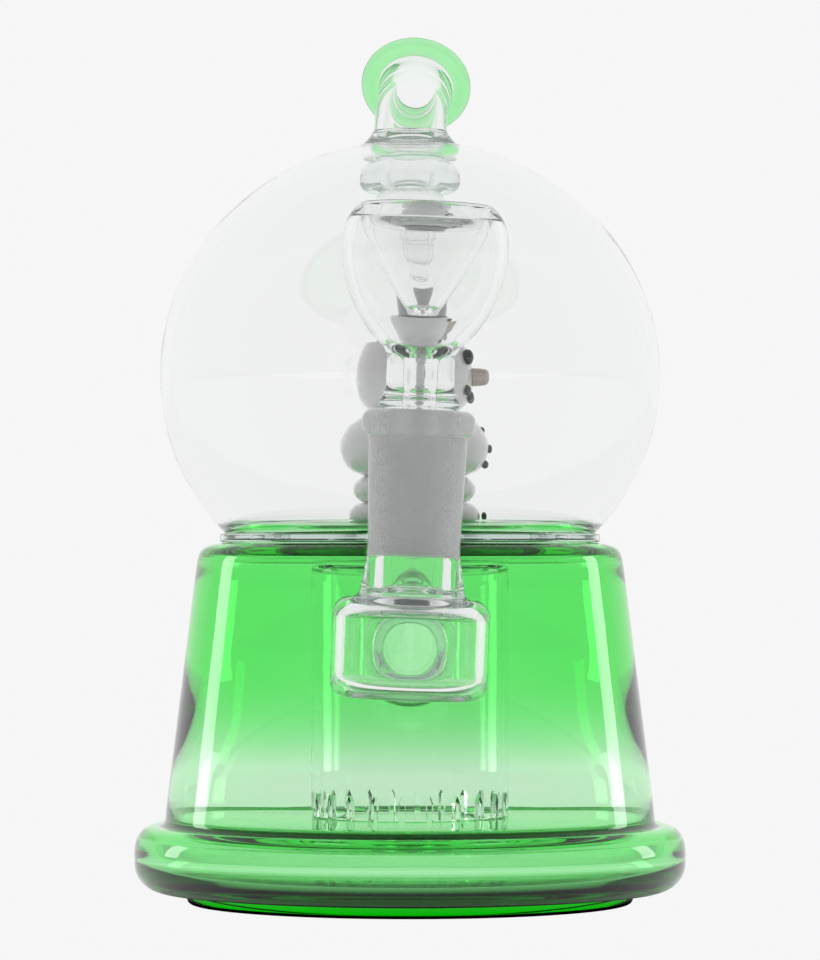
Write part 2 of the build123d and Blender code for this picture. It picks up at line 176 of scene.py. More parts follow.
# %% [markdown]
# ## Glass
# Clear glass is a Principled shader that transmits, with the index of borosilicate. Its colour is inside
# it, so it comes from a Volume Absorption shader and deepens where the light goes a long way through, as
# along the floor. Hand-worked glass is never quite even: a faint, wide noise bends the surface, and a finer
# one with a steep ramp leaves a few seeds and dusty spots where the shine is duller.


# %% Glass materials
BOROSILICATE = 1.472       # index of refraction


def glass(name, tint, density, wave=0.05, wave_scale=90.0, roughness=(0.0, 0.03)):
    """Glass with its colour inside, a wide faint wave on its skin and a few duller spots."""
    mat = bpy.data.materials.new(name)
    mat.use_nodes = True
    tree = mat.node_tree
    add = tree.nodes.new
    shader = tree.nodes["Principled BSDF"]
    shader.inputs["Transmission Weight"].default_value = 1.0
    shader.inputs["IOR"].default_value = BOROSILICATE
    shader.inputs["Base Color"].default_value = (1, 1, 1, 1)
    place = add("ShaderNodeTexCoord")
    swell = add("ShaderNodeTexNoise")
    swell.inputs["Scale"].default_value = wave_scale
    swell.inputs["Detail"].default_value = 1.5
    bump = add("ShaderNodeBump")
    bump.inputs["Strength"].default_value = wave
    bump.inputs["Distance"].default_value = 0.5 * MM
    seeds = add("ShaderNodeTexNoise")
    seeds.inputs["Scale"].default_value = 700.0
    seeds.inputs["Detail"].default_value = 3.0
    ramp = add("ShaderNodeMapRange")
    ramp.inputs["From Min"].default_value = 0.62
    ramp.inputs["From Max"].default_value = 0.75
    ramp.inputs["To Min"].default_value = roughness[0]
    ramp.inputs["To Max"].default_value = roughness[1]
    link = tree.links.new
    link(place.outputs["Object"], swell.inputs["Vector"])
    link(place.outputs["Object"], seeds.inputs["Vector"])
    link(swell.outputs["Fac"], bump.inputs["Height"])
    link(bump.outputs["Normal"], shader.inputs["Normal"])
    link(seeds.outputs["Fac"], ramp.inputs["Value"])
    link(ramp.outputs["Result"], shader.inputs["Roughness"])
    if density:
        body = add("ShaderNodeVolumeAbsorption")
        body.inputs["Color"].default_value = (*tint, 1)
        body.inputs["Density"].default_value = density
        link(body.outputs["Volume"], tree.nodes["Material Output"].inputs["Volume"])
    print(name, "made")
    return mat


GREEN = (0.0, 0.93, 0.10)
green_glass = glass("green_glass", GREEN, 270.0)
# The same green, much paler, for the floor disc: painted light that brightens its edge.
disc_glass_painted_light = glass("disc_glass_painted_light", GREEN, 110.0)
lip_glass = glass("lip_glass", GREEN, 230.0)
clear_glass = glass("clear_glass", (0.80, 0.86, 0.84), 36.0)
ground_glass = glass("ground_glass", (1, 1, 1), 0.0, wave=0.3, wave_scale=2500.0, roughness=(0.5, 0.7))
ground_shader = ground_glass.node_tree.nodes["Principled BSDF"]
ground_shader.inputs["Transmission Weight"].default_value = 0.5

# %% [markdown]
# ## Coloured glass of the snowman
# Opal glass scatters light inside, so it's a Principled shader with some subsurface under a hard, clear
# coat. The black, the smoky grey and the orange are dense enough to take the light themselves.


# %% Opaque glass materials
def enamel(name, colour, second, subsurface=0.0):
    """Dense coloured glass, clouded between two colours, under a clear coat."""
    mat = bpy.data.materials.new(name)
    mat.use_nodes = True
    tree = mat.node_tree
    add = tree.nodes.new
    shader = tree.nodes["Principled BSDF"]
    shader.inputs["Roughness"].default_value = 0.14
    shader.inputs["IOR"].default_value = 1.5
    shader.inputs["Coat Weight"].default_value = 0.6
    shader.inputs["Coat Roughness"].default_value = 0.04
    shader.inputs["Subsurface Weight"].default_value = subsurface
    shader.inputs["Subsurface Radius"].default_value = (1.0, 1.0, 1.0)
    shader.inputs["Subsurface Scale"].default_value = 2.5 * MM
    place = add("ShaderNodeTexCoord")
    cloud = add("ShaderNodeTexNoise")
    cloud.inputs["Scale"].default_value = 220.0
    cloud.inputs["Detail"].default_value = 4.0
    mix = add("ShaderNodeMix")
    mix.data_type = "RGBA"
    mix.inputs["A"].default_value = (*colour, 1)
    mix.inputs["B"].default_value = (*second, 1)
    bump = add("ShaderNodeBump")
    bump.inputs["Strength"].default_value = 0.08
    bump.inputs["Distance"].default_value = 0.4 * MM
    link = tree.links.new
    link(place.outputs["Object"], cloud.inputs["Vector"])
    link(cloud.outputs["Fac"], mix.inputs["Factor"])
    link(cloud.outputs["Fac"], bump.inputs["Height"])
    link(mix.outputs["Result"], shader.inputs["Base Color"])
    link(bump.outputs["Normal"], shader.inputs["Normal"])
    print(name, "made")
    return mat


white_glass = enamel("white_glass", (0.93, 0.93, 0.93), (0.97, 0.97, 0.97), subsurface=0.5)
black_glass = enamel("black_glass", (0.008, 0.022, 0.015), (0.02, 0.045, 0.034))
smoke_glass = enamel("smoke_glass", (0.30, 0.34, 0.32), (0.38, 0.42, 0.40))
orange_glass = enamel("orange_glass", (0.66, 0.56, 0.53), (0.72, 0.62, 0.58), subsurface=0.3)

# %% [markdown]
# ## Base
# Foot, cone and deck are one blown piece of green glass, so they are one mesh with three skins: the
# outside, the water chamber, and a sealed hollow in the foot. An inner skin is spun by itself and its faces
# are reversed, because they point into the hollow. The wall is thin below and thick above, so the colour
# deepens upwards, as it does where the gather was stretched least.

# %% Base shell
ring = Span("foot_ring")
floor_plate = Span("floor_disc")
wall = Span("base_wall")
deck = Span("deck")
foot_top = ring.high.z
wall_top = wall.high.z
deck_edge = deck.radius
slope = (wall.radius - deck_edge) / (wall_top - foot_top)
BULGE = 1.5                # thickness of the ring round the foot's hollow
DECK = 2.8                 # thickness of the deck
FINE = 224                 # steps round the largest pieces
THIN = 0.8                 # thickness of the wall at its foot
THICKER = 2.9              # how much more it has at its top
THICKENS_FROM = 26         # height where the thickness starts to grow
THICKENS_OVER = 24         # and the height that it takes to do so


def wall_radius(z):
    """The outside of the conical wall at a height."""
    return wall.radius - slope * (z - foot_top)


def wall_thickness(z):
    """Thin below, thick above, with an easy change between."""
    share = min(max((z - THICKENS_FROM) / THICKENS_OVER, 0), 1)
    return THIN + THICKER * share * share * (3 - 2 * share)


deck_top = deck.high.z
foot_side = [
    (ring.radius, ring.low.z, 5.5),
    (ring.radius, ring.high.z, 5.8),
    (wall_radius(foot_top), ring.high.z - 0.9, 1.5),
]
outside = [(wall_radius(z), z) for z in range(int(foot_top) + 3, int(wall_top) + 1, 3)]
inside = [(wall_radius(z) - wall_thickness(z), z) for z in range(int(wall_top), int(foot_top) + 1, -3)]
plate = Span("chamber_floor")
plate_top = plate.high.z
plate_low = plate.low.z
slab_top = floor_plate.high.z
chamber_foot = [(wall_radius(foot_top) - 1.2, plate_top, 1.2)]
hollow = [
    (0, plate_low),
    (ring.radius - BULGE - 2, plate_low, 3.5),
    (ring.radius - BULGE, plate_low - 3.0, 2.0),
    (ring.radius - BULGE, slab_top, 3.6),
    (0, slab_top),
]
# The deck is drawn over its rounded shoulder and back under it, from the rim inwards and out again.
over_points = [(deck_edge, wall_top), (42.3, 71.4), (38.5, 72.8), (26.8, 73.2), (15.2, deck_top)]
under_points = [(15.2, deck_top - DECK), (26.8, 70.4), (36.6, 70.1), (39.4, 69.5), (40.1, wall_top)]
over = curve_through(over_points, 4)[1:]
under = curve_through(under_points, 4)[:-1]
skin_outline = [(0, ring.low.z), *foot_side, *outside, *over, (0, deck_top)]
skin_out = spun(wire(skin_outline, closed=False), FINE)
chamber_outline = [(0, deck_top - DECK), *under, *inside[1:], *chamber_foot, (0, plate_top)]
skin_in = spun(wire(chamber_outline, closed=False), FINE)
bmesh.ops.reverse_faces(skin_in, faces=skin_in.faces[:])
skin_low = spun(wire(hollow, closed=False), FINE)
bmesh.ops.reverse_faces(skin_low, faces=skin_low.faces[:])
base = joined([skin_out, skin_in, skin_low])
base_shell = made(
    "base_shell",
    base,
    green_glass,
    "vessel",
    ["base_wall", "deck", "foot_ring", "chamber_floor"],
)

# %% [markdown]
# ## Floor disc
# The disc under the foot is what the piece stands on. Its edge catches the light from below, so it shows as
# a bright green line, and that light is painted in: the disc gets a paler copy of the green glass.

# %% Floor disc
floor_edge = 45.0
disc_top = ring.low.z - 0.03  # a hair under the foot, so that no two faces share a plane
floor_outline = [
    (0, floor_plate.low.z),
    (floor_edge, floor_plate.low.z, 0.8),
    (floor_edge + 0.4, disc_top, 0.4),
    (0, disc_top),
]
floor_mesh = spun(wire(floor_outline, closed=False), FINE)
made("floor_plate", floor_mesh, disc_glass_painted_light, "vessel", ["floor_disc"])

# %% [markdown]
# ## Ports
# Four round holes let the air up into the globe, and one in the front takes the inlet tube. Holes are cut
# with a Boolean modifier, from one mesh that holds all the cutters, and it is applied at once.


# %% Cut the ports
def rod(radius, low, high, place=Matrix(), steps=64):
    """A plain cylinder along its own Z, in mm, as a cutter."""
    bm = spun(wire([(0, low), (radius, low), (radius, high), (0, high)], closed=False, longest=1000), steps)
    bm.transform(place)
    return bm


def cut(piece, cutters):
    """Takes the cutters out of a piece."""
    both = joined(cutters)
    mesh = bpy.data.meshes.new("cutter")
    both.to_mesh(mesh)
    both.free()
    tool = bpy.data.objects.new("cutter", mesh)
    bpy.context.scene.collection.objects.link(tool)
    modifier = piece.modifiers.new("cut", "BOOLEAN")
    modifier.operation = "DIFFERENCE"
    modifier.solver = "EXACT"
    modifier.object = tool
    bpy.context.view_layer.update()
    done = bpy.data.meshes.new_from_object(piece.evaluated_get(bpy.context.evaluated_depsgraph_get()))
    piece.modifiers.clear()
    piece.data = done
    bpy.data.objects.remove(tool)
    done.shade_smooth()
    done.set_sharp_from_angle(angle=radians(38))
    print(piece.name, "cut, now", len(done.polygons), "faces")


inlet = Span("inlet_tube")
inlet_z = (inlet.low.z + inlet.high.z) / 2
to_front = Matrix.Rotation(radians(90), 4, "X")
inlet_line = Matrix.Translation((0, 0, inlet_z * MM)) @ to_front
PORT_RADIUS = 8.0
PORT_CIRCLE = 25.0         # radius of the circle that the ports' centres are on


def make_ports():
    """The four cutters for the ways up into the globe."""
    reach = PORT_CIRCLE * MM
    places = [(reach * cos(a), reach * sin(a), 0) for a in (0, pi / 2, pi, 3 * pi / 2)]
    return [rod(PORT_RADIUS, wall_top - 4, deck_top + 8, Matrix.Translation(place)) for place in places]


inlet_cut = rod(inlet.radius - 0.1, 30, 60, inlet_line)
cut(base_shell, [*make_ports(), inlet_cut])

# %% [markdown]
# ## Globe
# A thin bubble, slightly flattened, with a clear floor and a thicker seam where it is sealed to the deck.
# Its outline follows two ellipses, made by the formula, so its curvature never breaks. The floor has the
# same four ports as the deck, cut by the same rods.

# %% Globe
globe = Span("globe")
seam = Span("globe_seam_ring")
globe_centre = 106.9
half_height = 47.7
neck_hole = 7.2
globe_wall = 2.2


def ellipse(radius, height, low_radius, high_radius, steps=72):
    """Points of an ellipse from its lower opening up to its upper one."""
    start = -pi / 2 + asin(low_radius / radius)
    end = pi / 2 - asin(high_radius / radius)
    angles = [start + (end - start) * i / steps for i in range(steps + 1)]
    return [(radius * cos(a), globe_centre + height * sin(a)) for a in angles]


outer = ellipse(globe.radius, half_height, seam.radius - 1.1, neck_hole)
inner = ellipse(globe.radius - globe_wall, half_height - globe_wall, seam.radius - 4.0, neck_hole)
floor_span = Span("globe_floor")
under_floor = floor_span.low.z + 0.05
seam_lip = [
    (seam.radius, seam.high.z - 0.2, 0.3),
    (seam.radius, seam.low.z + 0.1, 0.5),
    (26.8, 73.3),
    (15.2, under_floor),
    (0, under_floor),
]
globe_foot = [(0, floor_span.high.z), (seam.radius - 4.3, floor_span.high.z, 1.2)]
bubble = spun(wire([*globe_foot, *inner[2:], *outer[::-1], *seam_lip], closed=False), FINE)
globe_piece = made(
    "globe_glass", bubble, clear_glass, "vessel", ["globe", "globe_floor", "globe_seam_ring"]
)
cut(globe_piece, make_ports())

# %% [markdown]
# ## Neck and mouthpiece
# The neck is a stack of beads on a tube inside the globe, and the same tube goes on above it and bends back
# to the lip. It is turned straight, with every bead in its outline, and then its upper end is bent: each
# vertex above the bend's start moves round an arc, as the tube does over a flame.

# %% Neck and mouthpiece
neck_ring = Span("neck_inner_ring")
middle_bead = Span("neck_middle_bead")
end_bead = Span("neck_end_bead")
tip_bead = Span("neck_tip_bead")
bend_start = 152.0
bend_radius = 12.0
bend_angle = radians(53)
straight = 9.8             # length past the bend
mouth_turn = radians(-6)   # the bend points a little to the side of straight back
mouth_radius = 7.35
bend_length = bend_radius * bend_angle
tube_end = bend_start + bend_length + straight
outline = [
    (4.2, tip_bead.low.z, 0.5),
    (tip_bead.radius, tip_bead.low.z, 1.2),
    (tip_bead.radius, tip_bead.high.z, 1.2),
    (4.9, tip_bead.high.z + 0.2, 0.2),
    (4.9, end_bead.low.z - 0.2, 0.2),
    (end_bead.radius, end_bead.low.z, 1.8),
    (end_bead.radius, end_bead.high.z, 1.8),
    (5.7, end_bead.high.z + 0.2, 0.8),
    (5.7, middle_bead.low.z - 0.2, 0.8),
    (middle_bead.radius, middle_bead.low.z, 2.2),
    (middle_bead.radius, middle_bead.high.z, 1.6),
    (6.0, middle_bead.high.z + 0.2, 0.3),
    (6.4, neck_ring.low.z - 0.2, 0.2),
    (neck_ring.radius, neck_ring.low.z, 2.0),
    (neck_ring.radius, neck_ring.high.z, 2.9),
    (6.5, neck_ring.high.z, 1.2),
    (mouth_radius, 154.0, 1.0),
    (mouth_radius, tube_end - 6, 2.0),
    (8.0, tube_end, 1.1),
    (5.3, tube_end, 1.1),
    (5.2, 151.5, 1.5),
    (4.2, 149.0, 1.5),
]
neck = spun(wire(outline, longest=0.9), steps=128)


def bend(bm):
    """Moves what is above the bend's start round an arc in the YZ plane, and then straight on."""
    for vert in bm.verts:
        over_start = vert.co.z / MM - bend_start
        if over_start > 0:
            angle = min(over_start, bend_length) / bend_radius
            past = max(over_start - bend_length, 0)
            y = vert.co.y / MM
            arc = bend_radius - (bend_radius - y) * cos(angle)
            rise = (bend_radius - y) * sin(angle)
            vert.co.y = (arc + past * sin(angle)) * MM
            vert.co.z = (bend_start + rise + past * cos(angle)) * MM
    bm.transform(Matrix.Rotation(mouth_turn, 4, "Z"))


bend(neck)
neck_nodes = [
    "mouthpiece_tube",
    "neck_inner_ring",
    "neck_inner_tube",
    "neck_middle_bead",
    "neck_end_bead",
    "neck_tip_bead",
]
made("neck_glass", neck, clear_glass, "vessel", neck_nodes)

# %% [markdown]
# ## Lip and neck weld
# The lip is a rod of green glass wound once round the tube's end. It's a circle spun round the tube's axis,
# then taken round the same bend. The weld is the collar of glass that joins the tube to the globe.

# %% Lip and neck weld
bead = 1.9
lip_radius = 9.35
lip_height = tube_end - bead * 0.5
turns = [tau * i / 40 for i in range(40)]
circle = [(lip_radius + bead * cos(a), lip_height + bead * sin(a)) for a in turns]
lip = spun(wire(circle), steps=128)
bend(lip)
made("lip", lip, lip_glass, "vessel", ["mouthpiece_lip"])

weld_span = Span("neck_weld")
weld_outline = [
    (7.2, 152.6),
    (weld_span.radius, 153.2, 0.4),
    (8.4, 154.9, 1.2),
    (mouth_radius, weld_span.high.z, 0.5),
    (7.2, weld_span.high.z),
]
weld = spun(wire(weld_outline), 128)
made("neck_weld_bead", weld, clear_glass, "vessel", ["neck_weld"])

# %% [markdown]
# ## Percolator can
# A can open below, with 22 saw cuts in its rim that break the air into bubbles. Each cut has a pointed top,
# so the cutters are narrow pointed bars set in a circle.

# %% Percolator can
can = Span("percolator_can")
can_foot = can.low.z + 0.02
can_side = 1.6             # thickness of its side
can_roof = 2.0             # thickness of its top
can_outline = [
    (can.radius, can_foot, 0.5),
    (can.radius, can.high.z, 2.4),
    (0, can.high.z),
    (0, can.high.z - can_roof),
    (can.radius - can_side, can.high.z - can_roof, 1.6),
    (can.radius - can_side, can_foot, 0.5),
]
can_piece = made(
    "can", spun(wire(can_outline), 160), clear_glass, "vessel", ["percolator_can"]
)
SLITS = 22
slit_turn = -4.7           # degrees from the bowl's side to the first slit
slit_shoulder = 20.9       # height where a slit starts to close
slit_tip = 22.4
bar_start = 16             # the bars go from inside the can's side to outside it
bar_length = 6
slit_shape = [
    (-0.65, can.low.z - 1),
    (0.65, can.low.z - 1),
    (0.6, slit_shoulder),
    (0, slit_tip),
    (-0.6, slit_shoulder),
]
slits = []
for i in range(SLITS):
    bm = bmesh.new()
    face = bm.faces.new([bm.verts.new((bar_start * MM, x * MM, z * MM)) for x, z in slit_shape])
    pushed = bmesh.ops.extrude_face_region(bm, geom=[face])
    moved = [v for v in pushed["geom"] if isinstance(v, bmesh.types.BMVert)]
    bmesh.ops.translate(bm, verts=moved, vec=(bar_length * MM, 0, 0))
    bmesh.ops.recalc_face_normals(bm, faces=bm.faces[:])
    bm.transform(Matrix.Rotation(tau * i / SLITS + radians(slit_turn - 90), 4, "Z"))
    slits.append(bm)
inlet_cut = rod(inlet.radius - 0.1, 10, 60, inlet_line)
cut(can_piece, [*slits, inlet_cut])

# %% [markdown]
# ## Inlet tube
# A level tube from the elbow chamber through the wall to the can. Where it was sealed in, the glass
# gathered in two collars, and they are part of its outline. It's turned upright and then laid along the Y
# axis.

# %% Inlet tube
wall_weld = Span("inlet_weld_ring")
elbow_weld = Span("elbow_weld_ring")
tube = inlet.radius
tube_bore = 5.25
inlet_outline = [
    (tube_bore, -inlet.high.y, 0.8),
    (tube, -inlet.high.y, 0.8),
    (tube, -wall_weld.high.y - 1.2, 0.5),
    (wall_weld.radius - 0.5, -wall_weld.high.y - 0.6, 0.8),
    (wall_weld.radius, -wall_weld.low.y, 1.5),
    (tube, -wall_weld.low.y + 0.4, 0.9),
    (tube, -elbow_weld.high.y - 0.3, 0.9),
    (elbow_weld.radius, -elbow_weld.high.y, 0.9),
    (elbow_weld.radius - 0.6, -elbow_weld.high.y + 3.0, 0.5),
    (tube - 0.1, -inlet.low.y - 0.6, 0.5),
    (tube_bore, -inlet.low.y - 0.6, 0.5),
]
inlet_mesh = spun(wire(inlet_outline, longest=1.0), 112)
inlet_mesh.transform(inlet_line)
made(
    "inlet_glass",
    inlet_mesh,
    clear_glass,
    "vessel",
    ["inlet_tube", "inlet_weld_ring", "elbow_weld_ring"],
)

# %% [markdown]
# ## Elbow chamber and socket
# A hollow puck turns the air from down to level. On it stands a flared stem with the socket, whose tapered
# bore is ground. The four CAD nodes are one turned piece here, because they are melted into one, and only
# the bore's faces take the ground finish.

# %% Elbow chamber and socket
GROUND_LENGTH = 23.1
HALF_TAPER = 0.05          # radius lost for each millimetre down the joint
joint_top = -5.4           # the top of the ground length, below the flange
joint_low = joint_top - GROUND_LENGTH
chamber_top = -36.1
chamber_low = -55.2
chamber_radius = 14.85
chamber_wall = 2.0
bore_top = 7.25
bore_low = bore_top - GROUND_LENGTH * HALF_TAPER
socket_outline = [
    (0, chamber_low),
    (chamber_radius, chamber_low, 3.2),
    (chamber_radius, chamber_top, 3.0),
    (10.2, chamber_top + 0.1, 1.0),
    (8.7, joint_low + 0.5, 3.0),
    (9.3, joint_top - 0.3, 0.8),
    (10.7, joint_top + 0.6, 1.0),
    (10.7, joint_top + 4.7, 1.9),
    (7.7, joint_top + 4.7, 0.9),
    (7.6, joint_top + 0.3, 0.3),
    (bore_top, joint_top, 0.1),
    (bore_low, joint_low, 0.1),
    (6.0, joint_low - 0.4, 0.3),
    (6.0, chamber_top - 1.6, 0.9),
    (chamber_radius - chamber_wall, chamber_top - chamber_wall, 2.0),
    (chamber_radius - chamber_wall, chamber_low + chamber_wall, 2.2),
    (0, chamber_low + chamber_wall),
]
socket = spun(wire(socket_outline, closed=False, longest=1.1), 128)
socket.transform(joint_place)
socket_piece = made(
    "socket_glass",
    socket,
    clear_glass,
    "vessel",
    ["elbow_chamber", "joint_stem", "joint_socket", "socket_collar"],
)
inlet_cut = rod(inlet.radius - 0.3, 40, 62, inlet_line)
cut(socket_piece, [inlet_cut])


def grind(piece, low, high, least, most):
    """Gives the ground finish to the faces between two heights and two radii on the joint's axis."""
    piece.data.materials.append(ground_glass)
    back = joint_place.inverted()
    count = 0
    for face in piece.data.polygons:
        spot = back @ face.center
        radius = sqrt(spot.x**2 + spot.y**2) / MM
        if low < spot.z / MM < high and least < radius < most:
            face.material_index = len(piece.data.materials) - 1
            count += 1
    print(piece.name, "has", count, "ground faces")


grind(socket_piece, joint_low + 0.05, joint_top + 3.9, 5.5, 7.9)

# %% [markdown]
# ## Bowl
# A funnel in a hollow bulb, joined only at the rim, on a thick stem that ends in the ground plug. The real
# one is a single piece of glass, so one outline goes from the plug's foot up the outside, over the rim,
# down the funnel, through the hole in its tip and back down inside the bulb and the bore. Only the plug's
# taper is ground, and it is 0.05 mm smaller than the socket all round.

# %% Bowl
gap = 0.05                 # between the plug and the socket
plug_low = -28.0
plug_top = -5.0
plug_bore = 4.0
stem_bore = 2.2
bulb_points = [
    (6.4, 9.6), (7.3, 11.2), (9.5, 13.3), (11.7, 16.3), (14.1, 21.2),
    (15.4, 26.0), (15.7, 29.9), (15.4, 33.3), (14.5, 35.7), (13.1, 37.5),
]
bulb_outside = curve_through(bulb_points)
rim = [(12.2, 38.4, 0.8), (11.4, 37.3, 0.7)]
funnel_points = [(11.3, 36.6), (10.3, 32.8), (8.9, 29.6), (6.6, 25.9), (4.4, 22.2), (2.3, 19.3)]
funnel_inside = curve_through(funnel_points)
tip = [(1.1, 18.4, 0.3), (1.1, 17.1, 0.4), (2.7, 17.1, 0.6)]
funnel_back_points = [(3.2, 18.4), (5.7, 21.9), (7.9, 25.6), (10.2, 29.4), (11.9, 33.2), (12.6, 34.9)]
funnel_outside = curve_through(funnel_back_points)
cavity_points = [
    (13.2, 34.9), (13.8, 32.6), (14.0, 29.9), (13.7, 26.2), (12.5, 21.8), (10.3, 17.3),
    (8.2, 14.6), (6.2, 12.7), (4.6, 11.3), (3.3, 10.1), (2.5, 8.9), (stem_bore, 7.6),
]
cavity = curve_through(cavity_points)
bowl_outline = [
    (plug_bore, plug_low, 0.5),
    (bore_low - gap + 0.02, plug_low, 0.5),
    (bore_top - gap, plug_top, 0.3),
    (6.8, plug_top + 1.0, 0.6),
    (6.8, -0.4, 0.4),
    (7.7, 0.0, 0.3),
    (7.7, 0.9, 0.4),
    (6.5, 2.6, 1.6),
    *bulb_outside,
    *rim,
    *funnel_inside,
    *tip,
    *funnel_outside,
    *cavity,
    (stem_bore, -1.0, 2.0),
    (plug_bore, -6.5, 2.0),
]
bowl = spun(wire(bowl_outline, longest=1.0), 144)
bowl.transform(joint_place)
bowl_piece = made(
    "bowl_glass",
    bowl,
    clear_glass,
    "bowl",
    ["bowl_ground_joint", "bowl_flange", "bowl_stem", "bowl_bulb", "bowl_funnel"],
)
grind(bowl_piece, plug_low + 0.3, plug_top, 5.5, 7.6)

# %% [markdown]
# ## Snowman
# Four gathers of white glass pressed on each other, each a little out of true. Their outlines are short,
# and the rounding of the corners gives the soft edges of melted glass.


# %% Snowman
def snow_piece(name, corners, material=white_glass, steps=96):
    """A turned piece of the figure, stood on the centre line of its own CAD node."""
    span = Span(name)
    bm = spun(wire(corners, closed=False, longest=1.2), steps)
    bm.transform(Matrix.Translation((span.x * MM, 0, 0)))
    return made(name + "_glass", bm, material, "vessel", [name])


dome = Span("snowman_base")
snow_piece(
    "snowman_base",
    [
        (0, dome.low.z),
        (12.4, dome.low.z, 0.6),
        (dome.radius, dome.low.z + 2.4, 1.8),
        (11.9, dome.high.z, 0.9),
        (0, dome.high.z),
    ],
)
disc = Span("snowman_ring")
snow_piece(
    "snowman_ring",
    [
        (0, disc.low.z),
        (10.7, disc.low.z, 0.9),
        (disc.radius, disc.low.z + 2.7, 1.9),
        (10.7, disc.high.z, 0.9),
        (0, disc.high.z),
    ],
)
belly = Span("snowman_belly")
belly_side = curve_through(
    [(10.4, 86.4), (13.4, 88.0), (15.0, 91.2), (14.7, 94.2), (12.6, 97.2), (9.0, 99.0), (6.4, 99.6)]
)
snow_piece("snowman_belly", [(0, belly.low.z), *belly_side, (0, belly.high.z)])
head = Span("snowman_head")
head_side = curve_through(
    [(9.0, 99.6), (10.9, 101.6), (11.75, 104.6), (11.65, 108.4), (10.9, 111.4), (9.9, 113.4)]
)
snow_piece("snowman_head", [(0, head.low.z), *head_side, (0, head.high.z)])

# %% [markdown]
# ## Hat
# A thin brim of black glass and a straight crown of smoky glass, set a little forward on the head.

# %% Hat
brim = Span("hat_brim")
snow_piece(
    "hat_brim",
    [(0, brim.low.z), (brim.radius, brim.low.z, 0.5), (brim.radius, brim.high.z, 0.5), (0, brim.high.z)],
    black_glass,
)
crown = Span("hat_crown")
snow_piece(
    "hat_crown",
    [(0, crown.low.z), (crown.radius, crown.low.z, 0.3), (7.7, crown.high.z, 1.6), (0, crown.high.z)],
    smoke_glass,
)

# %% [markdown]
# ## Face and buttons
# Small beads of coloured glass pressed on while hot, so they are flattened balls half sunk in the white.
# Each CAD node is a group of beads, and its loose parts are measured to place a new bead on each.


# %% Face and buttons
def islands(node):
    """The box centre and half size of each separate solid in a CAD node."""
    bm = bmesh.new()
    bm.from_mesh(frame["nodes"][node].data)
    bmesh.ops.remove_doubles(bm, verts=bm.verts[:], dist=1e-6)
    left = set(bm.verts)
    found = []
    while left:
        todo = [left.pop()]
        group = []
        while todo:
            vert = todo.pop()
            group.append(vert.co.copy())
            for edge in vert.link_edges:
                other = edge.other_vert(vert)
                if other in left:
                    left.discard(other)
                    todo.append(other)
        low = Vector([min(c[i] for c in group) for i in range(3)])
        high = Vector([max(c[i] for c in group) for i in range(3)])
        found.append(((low + high) / 2, (high - low) / 2))
    bm.free()
    return found


def beads(node, material, sink=0.1 * MM):
    """A flattened ball for each solid of a CAD node, pressed a little into the white glass."""
    both = bmesh.new()
    for centre, half in islands(node):
        bm = bmesh.new()
        bmesh.ops.create_icosphere(bm, subdivisions=4, radius=1.0)
        bmesh.ops.scale(bm, vec=half, verts=bm.verts[:])
        bmesh.ops.translate(bm, vec=centre - Vector((sink, 0, 0)), verts=bm.verts[:])
        part = bpy.data.meshes.new("bead")
        bm.to_mesh(part)
        bm.free()
        both.from_mesh(part)
        bpy.data.meshes.remove(part)
    return made(node + "_glass", both, material, "vessel", [node])


beads("snowman_eyes", black_glass)
beads("snowman_mouth", black_glass)
beads("snowman_buttons", black_glass)
nose = Span("snowman_nose")
nose_length = nose.high.x - nose.low.x
nose_z = (nose.low.z + nose.high.z) / 2
nose_outline = [
    (0, 0),
    (1.9, 0, 0.3),
    (1.8, nose_length * 0.5, 1.0),
    (1.5, nose_length, 0.9),
    (0, nose_length),
]
nose_mesh = spun(wire(nose_outline, closed=False, longest=0.4), 48)
to_side = Matrix.Rotation(radians(90), 4, "Y")
nose_mesh.transform(Matrix.Translation((nose.low.x * MM, 0, nose_z * MM)) @ to_side)
made("snowman_nose_glass", nose_mesh, orange_glass, "vessel", ["snowman_nose"])

# %% [markdown]
# ## Studio
# Glass shows what is round it, so the studio is as important as the shaders. A pale room lights the piece
# from behind, the side towards the camera is darker so that edges draw themselves, and two tall soft boxes
# a little behind the piece leave the long white strips on both sides of the base. They light the base only,
# by light linking, so the clear globe stays free of them. The floor is plain and pale, and gives its own
# light, because clear glass would throw a full shadow on a matt floor. Under the foot it carries a painted
# shadow, black to every ray but the camera's, which sees the whole floor evenly pale.

# %% Floor
bpy.ops.mesh.primitive_plane_add(size=12.0)
floor = bpy.context.object
floor.name = "studio_floor"
PALE = 0.922               # what the camera sees of the floor and the room
# Painted shadow on the floor: black within this distance of the centre, pale again by the next one.
PAINTED_SHADOW_FROM = 0.046         # metres from the centre, under the foot
PAINTED_SHADOW_TO = 0.060
paper = bpy.data.materials.new("floor_paper")
paper.use_nodes = True
tree = paper.node_tree
tree.nodes.remove(tree.nodes["Principled BSDF"])
glow = tree.nodes.new("ShaderNodeEmission")
spot = tree.nodes.new("ShaderNodeTexCoord")
far = tree.nodes.new("ShaderNodeVectorMath")
far.operation = "LENGTH"
shade = tree.nodes.new("ShaderNodeMapRange")
shade.inputs["From Min"].default_value = PAINTED_SHADOW_FROM
shade.inputs["From Max"].default_value = PAINTED_SHADOW_TO
shade.inputs["To Min"].default_value = 0.0
shade.inputs["To Max"].default_value = 0.90
